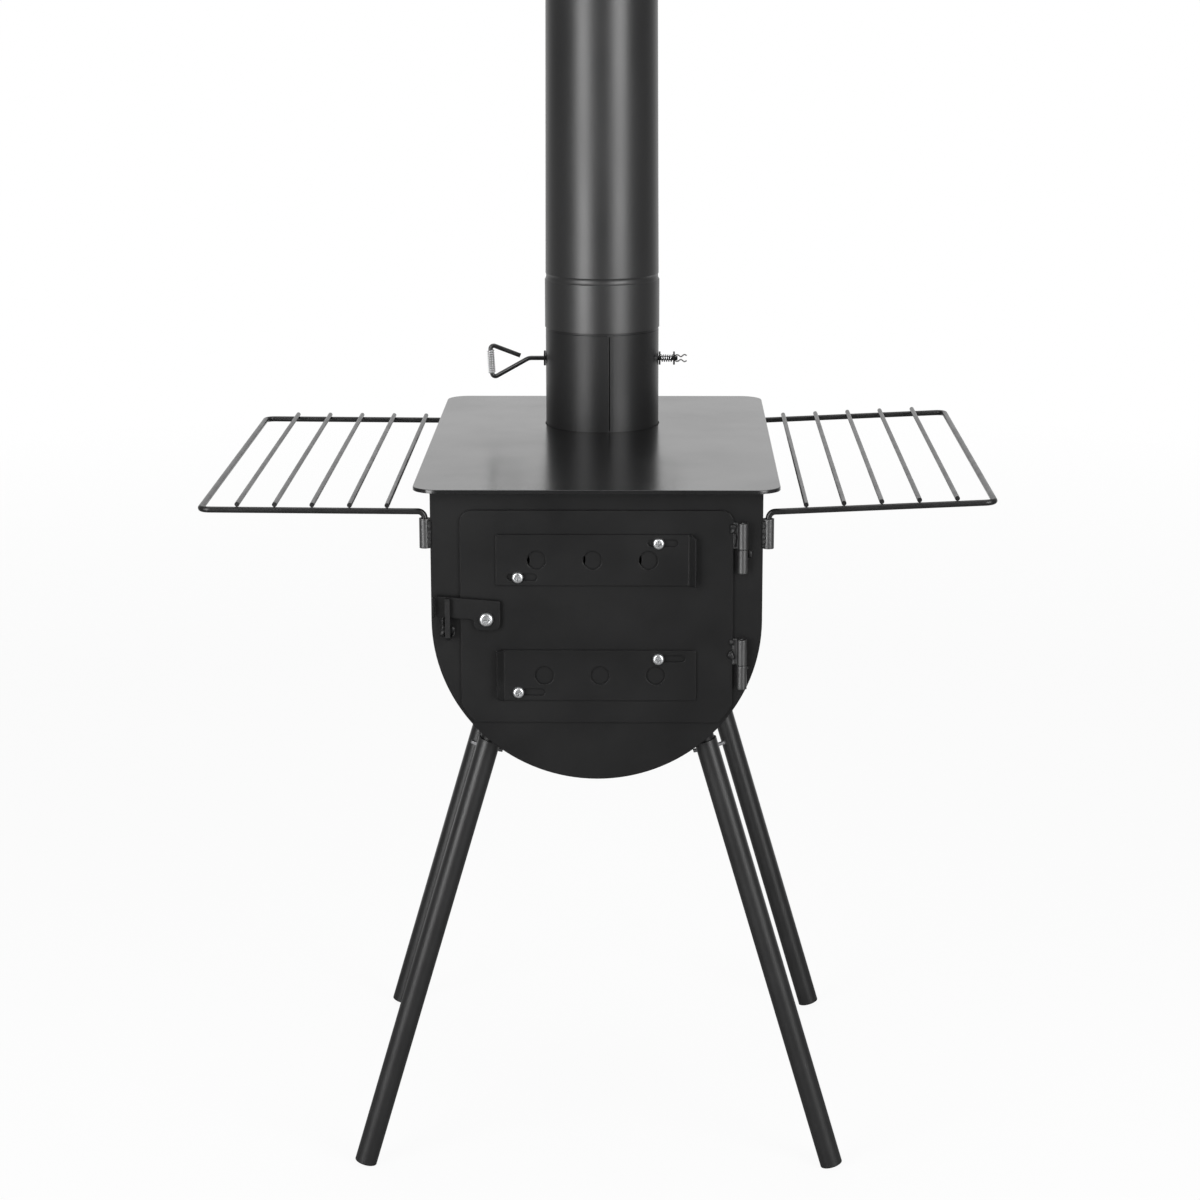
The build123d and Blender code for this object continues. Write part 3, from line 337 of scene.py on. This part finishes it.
# Weld beads
def weldBead(name, points, bead):
    # A closed tube along a chain of points. Its radius is radius * taper * (1 + ripple * waves),
    # where waves is the mean of four sines of length and angle, with unlike lengths and seeded
    # phases, and taper is a quarter circle over the last radius of each end, but never under
    # leastTaper, so that the end caps keep an area. Its line wanders sideways by wander * radius
    # times a sine of twice rippleLength, and the section is flatness times as high as it is wide.
    chain = np.array(points, dtype=float)
    steps = np.linalg.norm(np.diff(chain, axis=0), axis=1)
    reach = np.concatenate([[0], np.cumsum(steps)])
    total = reach[-1]
    count = max(bead["leastRows"], int(total / bead["spacing"]))
    along = np.linspace(0, total, count)
    centre = np.stack([np.interp(along, reach, chain[:, axis]) for axis in range(3)], axis=1)
    tangent = np.gradient(centre, along, axis=0)
    tangent /= np.linalg.norm(tangent, axis=1)[:, None]
    side = np.cross(tangent, np.array(bead["flat"], dtype=float))
    side /= np.linalg.norm(side, axis=1)[:, None]
    rise = np.cross(side, tangent)
    sides = bead["sides"]
    turns = np.linspace(0, 2 * math.pi, sides, endpoint=False)
    lengths = bead["rippleLength"] * np.array(bead["rippleShares"])
    rounds = np.array(bead["rippleRounds"])
    phases = np.random.default_rng(bead["seed"]).uniform(0, 2 * math.pi, len(lengths))
    angles = 2 * math.pi * along[:, None, None] / lengths + rounds * turns[None, :, None] + phases
    waves = np.sin(angles).mean(axis=2)
    ends = np.clip(np.minimum(along, total - along) / bead["radius"], 0, 1)
    taper = np.maximum(np.sqrt(1 - (1 - ends) ** 2), bead["leastTaper"])
    radius = bead["radius"] * taper[:, None] * (1 + bead["ripple"] * waves)
    wander = np.sin(2 * math.pi * along / (2 * bead["rippleLength"]) + phases[0])
    centre = centre + (bead["wander"] * bead["radius"] * wander)[:, None] * side
    ring = (
        centre[:, None, :]
        + (radius * np.cos(turns))[:, :, None] * side[:, None, :]
        + (bead["flatness"] * radius * np.sin(turns))[:, :, None] * rise[:, None, :]
    )
    row = (np.arange(count - 1) * sides)[:, None]
    column = np.arange(sides)[None, :]
    following = (column + 1) % sides
    quads = np.stack(
        [row + column, row + sides + column, row + sides + following, row + following], axis=-1
    ).reshape(-1, 4)
    first = np.arange(sides)
    last = first[::-1] + (count - 1) * sides
    faces = quads.tolist() + [first.tolist(), last.tolist()]
    mesh = bpy.data.meshes.new(name)
    mesh.from_pydata(ring.reshape(-1, 3).tolist(), [], faces)
    mesh.polygons.foreach_set("use_smooth", np.ones(len(mesh.polygons), dtype=bool))
    mesh.update()
    piece = bpy.data.objects.new(name, mesh)
    bpy.context.collection.objects.link(piece)
    piece.data.materials.append(materials[bead["look"]])
    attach(piece, bead["body"])
    return piece


beadLook = {
    "body": "stove",
    "slot": "stove_paint",
    "look": "weldPaint",
    "radius": 0.0011,
    "ripple": 0.35,
    "rippleLength": 0.0022,
    "rippleShares": (1.0, 1.4, 2.2, 3.1),
    "rippleRounds": (1, 2, 1, 3),
    "leastTaper": 0.02,
    "leastRows": 10,
    "wander": 0.15,
    "spacing": 0.0004,
    "sides": 16,
    "flatness": 0.9,
    "flat": (0, 1, 0),
    "seed": 1,
}

# Upright beads on the door's face, the front plate's face and beside the keeper: x and y of the
# middle, the lower and upper end, and what differs from a plain bead
lumpLook = {**beadLook, "ripple": 0.60, "rippleLength": 0.0050, "wander": 0.30}
doorFaceY = -0.2187
plateFaceY = -0.2165
uprightWelds = {
    "upperDoorWeld": (0.1104, doorFaceY, 0.5640, 0.5722,
                      {**lumpLook, "body": "door", "radius": 0.0021, "seed": 2}),
    "upperDoorBead": (0.1126, doorFaceY, 0.5530, 0.5650,
                      {**lumpLook, "body": "door", "radius": 0.0010, "seed": 3}),
    "lowerDoorWeld": (0.1107, doorFaceY, 0.4706, 0.4760,
                      {**lumpLook, "body": "door", "radius": 0.0018, "seed": 4}),
    "lowerDoorLump": (0.1101, doorFaceY, 0.4588, 0.4668,
                      {**lumpLook, "body": "door", "radius": 0.0023, "seed": 5}),
    "upperFrameWeld": (0.1243, plateFaceY, 0.5436, 0.5506,
                       {**lumpLook, "radius": 0.0018, "seed": 6}),
    "upperFrameBead": (0.1218, plateFaceY, 0.5328, 0.5440, {**lumpLook, "seed": 7}),
    "lowerFrameWeld": (0.1230, plateFaceY, 0.4494, 0.4532,
                       {**lumpLook, "radius": 0.0014, "seed": 8}),
    "lowerFrameBead": (0.1218, plateFaceY, 0.4358, 0.4500, {**lumpLook, "seed": 9}),
    "keeperWeldLeft": (-0.1252, plateFaceY, 0.4768, 0.4947,
                       {**lumpLook, "radius": 0.0022, "seed": 10}),
    "keeperWeldRight": (-0.1178, plateFaceY, 0.4760, 0.4863,
                        {**lumpLook, "radius": 0.0019, "seed": 11}),
}
for name, (x, y, low, high, look) in uprightWelds.items():
    weldBead(name, [(x, y, low), (x, y, high)], look)
print("stage: hinge and keeper welds")

# Welds down both sides of each rack socket, heavier on the side that faces the stove's end
socketWelds = {
    "x": 0.1356,
    "outerY": 0.2158,
    "innerY": 0.2099,
    "low": 0.5515,
    "high": 0.5745,
    "outer": {**beadLook, "flat": (1, 0, 0), "radius": 0.0019, "ripple": 0.15, "wander": 0.10},
    "inner": {**beadLook, "flat": (1, 0, 0)},
    "middleSeed": 20,
}
for side in (-1, 1):
    for end in (-1, 1):
        for edge, y in (("outer", socketWelds["outerY"]), ("inner", socketWelds["innerY"])):
            x = side * socketWelds["x"]
            weldBead(
                f"{edge}SocketWeld{side}{end}",
                [(x, end * y, socketWelds["low"]), (x, end * y, socketWelds["high"])],
                {**socketWelds[edge], "seed": socketWelds["middleSeed"] + 2 * side + end},
            )
print("stage: socket welds")

# Welds round the leg stubs: where a tube of the stub's radius meets the firebox's round belly.
# The bead's middle line stays offStub outside the tube and offBody short of the belly.
stubWelds = {
    "footX": 0.2010,
    "legY": 0.1905,
    "footZ": 0.0095 * math.sin(math.radians(16.3)),
    "splay": math.radians(16.3),
    "stubRadius": 0.0080,
    "bodyRadius": 0.1350,
    "arcZ": 0.4910,
    "offStub": 0.0003,
    "offBody": 0.0003,
    "samples": 48,
    "flat": (0.6, 0.05, 0.8),
    "look": {**beadLook, "radius": 0.0010},
    "middleSeed": 30,
}


def stubLoop(side, end, weld):
    # Loop of points where a tube that leans by splay meets a cylinder along Y. Each point starts
    # on a circle round the tube's foot and goes up the tube's axis by the nearer root of the
    # quadratic for its distance from the cylinder's axis being bodyRadius, less offBody.
    lean = weld["splay"]
    foot = np.array([side * weld["footX"], end * weld["legY"], weld["footZ"]])
    up = np.array([-side * math.sin(lean), 0, math.cos(lean)])
    across = np.array([-side * math.cos(lean), 0, -math.sin(lean)])
    along = np.array([0, 1, 0])
    turns = np.linspace(0, 2 * math.pi, weld["samples"])[:, None]
    start = foot + (weld["stubRadius"] + weld["offStub"]) * (
        np.cos(turns) * across + np.sin(turns) * along
    )
    offset = start[:, [0, 2]] - np.array([0, weld["arcZ"]])
    half = offset @ up[[0, 2]]
    reach = -half - np.sqrt(half**2 - (offset**2).sum(axis=1) + weld["bodyRadius"] ** 2)
    return start + (reach - weld["offBody"])[:, None] * up


for side in (-1, 1):
    for end in (-1, 1):
        flatX, flatY, flatZ = stubWelds["flat"]
        seed = stubWelds["middleSeed"] + 2 * side + end
        look = {**stubWelds["look"], "flat": (side * flatX, flatY, flatZ), "seed": seed}
        weldBead(f"stubWeld{side}{end}", stubLoop(side, end, stubWelds), look)
print("stage: stub welds")

# Painted shade down the open edge of the damper pipe's lock seam: the fold's edge is real, but this
# thin near-black strip, which reflects almost nothing, stands for the shadow in it, down the front
# of its strip
seamPaintedShade = {
    "x": 0.0072,
    "pipeY": 0.0840,
    "radius": 0.0513,
    "low": 0.6022,
    "high": 0.6880,
    "look": {**beadLook, "body": "damper_pipe", "slot": "pipe_paint", "look": "paintedSeamShade",
             "radius": 0.00045, "ripple": 0.1, "wander": 0.0, "spacing": 0.002, "flatness": 0.4},
}
seamY = seamPaintedShade["pipeY"] - math.sqrt(seamPaintedShade["radius"] ** 2 - seamPaintedShade["x"] ** 2)
weldBead("seamPaintedShade", [(seamPaintedShade["x"], seamY, seamPaintedShade["low"]), (seamPaintedShade["x"], seamY, seamPaintedShade["high"])],
         seamPaintedShade["look"])
print("stage: seam")

# Floor: pale, with the object's shadow, fading out into the white round it
floorLook = {
    "radius": 6.0,
    "sides": 96,
    "seenColour": (0.80, 0.80, 0.80),
    "bounceColour": (0.24, 0.24, 0.24),
    "roughness": 0.65,
    "fadeFrom": 1.6,
    "fadeTo": 3.6,
    "whiteShare": 0.93,
    "backdropFrom": 0.3,
    "backdropTo": 1.2,
}


def backdropShare(tree, along, look):
    # Share of a ray's colour that is plain white of strength 1: all of it to the camera, and to
    # glossy and transmission rays as much as along, the way back, has risen between
    # backdropFrom and backdropTo, so that metal shows the white behind the object too. The second
    # value returned is 1 for the camera's own rays.
    lightPath = tree.nodes.new("ShaderNodeLightPath")
    mirrored = tree.nodes.new("ShaderNodeMath")
    mirrored.operation = "ADD"
    tree.links.new(lightPath.outputs["Is Glossy Ray"], mirrored.inputs[0])
    tree.links.new(lightPath.outputs["Is Transmission Ray"], mirrored.inputs[1])
    behind = rangeOf(tree, along, 0, 1, look["backdropFrom"], look["backdropTo"])
    share = tree.nodes.new("ShaderNodeMath")
    share.operation = "MULTIPLY_ADD"
    share.use_clamp = True
    tree.links.new(mirrored.outputs["Value"], share.inputs[0])
    tree.links.new(behind, share.inputs[1])
    tree.links.new(lightPath.outputs["Is Camera Ray"], share.inputs[2])
    return share.outputs["Value"], lightPath.outputs["Is Camera Ray"]


def floorMaterial(look):
    # Diffuse floor that turns see-through with distance from the middle: the share that is
    # see-through rises from 0 at fadeFrom to 1 at fadeTo. whiteShare of what the camera sees is
    # plain white, and the rest keeps the shadow. The light it throws back up is darker.
    material, tree, output = newMaterial("floor")
    coordinates = tree.nodes.new("ShaderNodeTexCoord")
    place = tree.nodes.new("ShaderNodeSeparateXYZ")
    tree.links.new(coordinates.outputs["Object"], place.inputs["Vector"])
    share, seen = backdropShare(tree, place.outputs["Y"], look)
    shader = tree.nodes.new("ShaderNodeBsdfPrincipled")
    colour = mixColours(tree, seen, look["bounceColour"], look["seenColour"])
    tree.links.new(colour, shader.inputs["Base Color"])
    shader.inputs["Roughness"].default_value = look["roughness"]
    glow = tree.nodes.new("ShaderNodeEmission")
    glow.inputs["Strength"].default_value = 1
    held = tree.nodes.new("ShaderNodeMath")
    held.operation = "MULTIPLY"
    held.inputs[1].default_value = look["whiteShare"]
    tree.links.new(share, held.inputs[0])
    lit = tree.nodes.new("ShaderNodeMixShader")
    tree.links.new(held.outputs["Value"], lit.inputs["Fac"])
    tree.links.new(shader.outputs["BSDF"], lit.inputs[1])
    tree.links.new(glow.outputs["Emission"], lit.inputs[2])
    clear = tree.nodes.new("ShaderNodeBsdfTransparent")
    distance = tree.nodes.new("ShaderNodeVectorMath")
    distance.operation = "LENGTH"
    tree.links.new(coordinates.outputs["Object"], distance.inputs[0])
    fade = rangeOf(tree, distance.outputs["Value"], 0, 1, look["fadeFrom"], look["fadeTo"])
    mix = tree.nodes.new("ShaderNodeMixShader")
    tree.links.new(fade, mix.inputs["Fac"])
    tree.links.new(lit.outputs["Shader"], mix.inputs[1])
    tree.links.new(clear.outputs["BSDF"], mix.inputs[2])
    tree.links.new(mix.outputs["Shader"], output.inputs["Surface"])
    return material


floorMesh = bpy.data.meshes.new("floor")
turns = np.linspace(0, 2 * math.pi, floorLook["sides"], endpoint=False)
rim = floorLook["radius"] * np.stack([np.cos(turns), np.sin(turns), np.zeros_like(turns)], axis=1)
floorMesh.from_pydata(rim.tolist(), [], [list(range(floorLook["sides"]))])
floor = bpy.data.objects.new("floor", floorMesh)
bpy.context.collection.objects.link(floor)
floor.data.materials.append(floorMaterial(floorLook))

# Light: a studio that is bright behind and at the sides and dim in front, and soft lamps
worldLook = {
    "front": 0.10,
    "side": 0.24,
    "sideFrom": -0.9,
    "sideTo": -0.1,
    "behind": 0.80,
    "behindFrom": 0.4,
    "behindTo": 0.9,
    "backdropFrom": 0.70,
    "backdropTo": 0.94,
}
world = bpy.data.worlds.new("studio")
bpy.context.scene.world = world
world.use_nodes = True
worldTree = world.node_tree
worldTree.nodes.clear()
worldOutput = worldTree.nodes.new("ShaderNodeOutputWorld")
studio = worldTree.nodes.new("ShaderNodeBackground")
white = worldTree.nodes.new("ShaderNodeBackground")
white.inputs["Color"].default_value = (1, 1, 1, 1)
white.inputs["Strength"].default_value = 1
direction = worldTree.nodes.new("ShaderNodeTexCoord")
split = worldTree.nodes.new("ShaderNodeSeparateXYZ")
worldTree.links.new(direction.outputs["Generated"], split.inputs["Vector"])
towardsSide = rangeOf(
    worldTree, split.outputs["Y"], worldLook["front"], worldLook["side"],
    worldLook["sideFrom"], worldLook["sideTo"],
)
towardsBack = rangeOf(
    worldTree, split.outputs["Y"], 0, worldLook["behind"] - worldLook["side"],
    worldLook["behindFrom"], worldLook["behindTo"],
)
total = worldTree.nodes.new("ShaderNodeMath")
total.operation = "ADD"
worldTree.links.new(towardsSide, total.inputs[0])
worldTree.links.new(towardsBack, total.inputs[1])
worldTree.links.new(total.outputs["Value"], studio.inputs["Strength"])
whiteShare = backdropShare(worldTree, split.outputs["Y"], worldLook)[0]
worldMix = worldTree.nodes.new("ShaderNodeMixShader")
worldTree.links.new(whiteShare, worldMix.inputs["Fac"])
worldTree.links.new(studio.outputs["Background"], worldMix.inputs[1])
worldTree.links.new(white.outputs["Background"], worldMix.inputs[2])
worldTree.links.new(worldMix.outputs["Shader"], worldOutput.inputs["Surface"])

lamps = {
    "overhead": {"place": (0.0, 0.3, 3.4), "aim": (0, 0, 0.3), "size": (2.4, 2.4), "power": 30},
    "left": {"place": (-1.50, -1.90, 1.35), "aim": (0, 0, 0.8), "size": (1.15, 2.0), "power": 38},
    "right": {"place": (1.50, -1.90, 1.35), "aim": (0, 0, 0.8), "size": (1.15, 2.0), "power": 44},
    "lowLeft": {"place": (-1.35, -1.85, 0.29), "aim": (0, 0, 0.29), "size": (1.0, 0.5), "power": 9},
    "lowRight": {"place": (1.35, -1.85, 0.29), "aim": (0, 0, 0.29), "size": (1.0, 0.5), "power": 3},
}
for name, lamp in lamps.items():
    data = bpy.data.lights.new(name, "AREA")
    data.shape = "RECTANGLE"
    data.size, data.size_y = lamp["size"]
    data.energy = lamp["power"]
    lampObject = bpy.data.objects.new(name, data)
    bpy.context.collection.objects.link(lampObject)
    lampObject.location = lamp["place"]
    lampObject.rotation_mode = "QUATERNION"
    towards = Vector(lamp["aim"]) - Vector(lamp["place"])
    lampObject.rotation_quaternion = towards.to_track_quat("-Z", "Y")
print("stage: floor, world and lamps")

# Camera: place and turn fitted to the photo's edges
cameraLook = {
    "place": (0.0430, -2.5262, 1.0624),
    "pitch": -13.49,
    "yaw": -0.997,
    "roll": -0.106,
    "lens": 87.45,
    "sensor": 36.0,
    "nearest": 0.05,
    "furthest": 60,
}
cameraData = bpy.data.cameras.new("camera")
cameraData.lens = cameraLook["lens"]
cameraData.sensor_width = cameraLook["sensor"]
cameraData.clip_start = cameraLook["nearest"]
cameraData.clip_end = cameraLook["furthest"]
camera = bpy.data.objects.new("camera", cameraData)
bpy.context.collection.objects.link(camera)
pitch, yaw, roll = (math.radians(cameraLook[key]) for key in ("pitch", "yaw", "roll"))
forward = Vector((math.sin(yaw) * math.cos(pitch), math.cos(yaw) * math.cos(pitch), math.sin(pitch)))
right = forward.cross(Vector((0, 0, 1))).normalized()
above = right.cross(forward)
rolledRight = right * math.cos(roll) + above * math.sin(roll)
rolledAbove = above * math.cos(roll) - right * math.sin(roll)
turned = Matrix((rolledRight, rolledAbove, -forward)).transposed().to_4x4()
camera.matrix_world = Matrix.Translation(cameraLook["place"]) @ turned
bpy.context.scene.camera = camera

bpy.context.scene.view_settings.view_transform = "Standard"
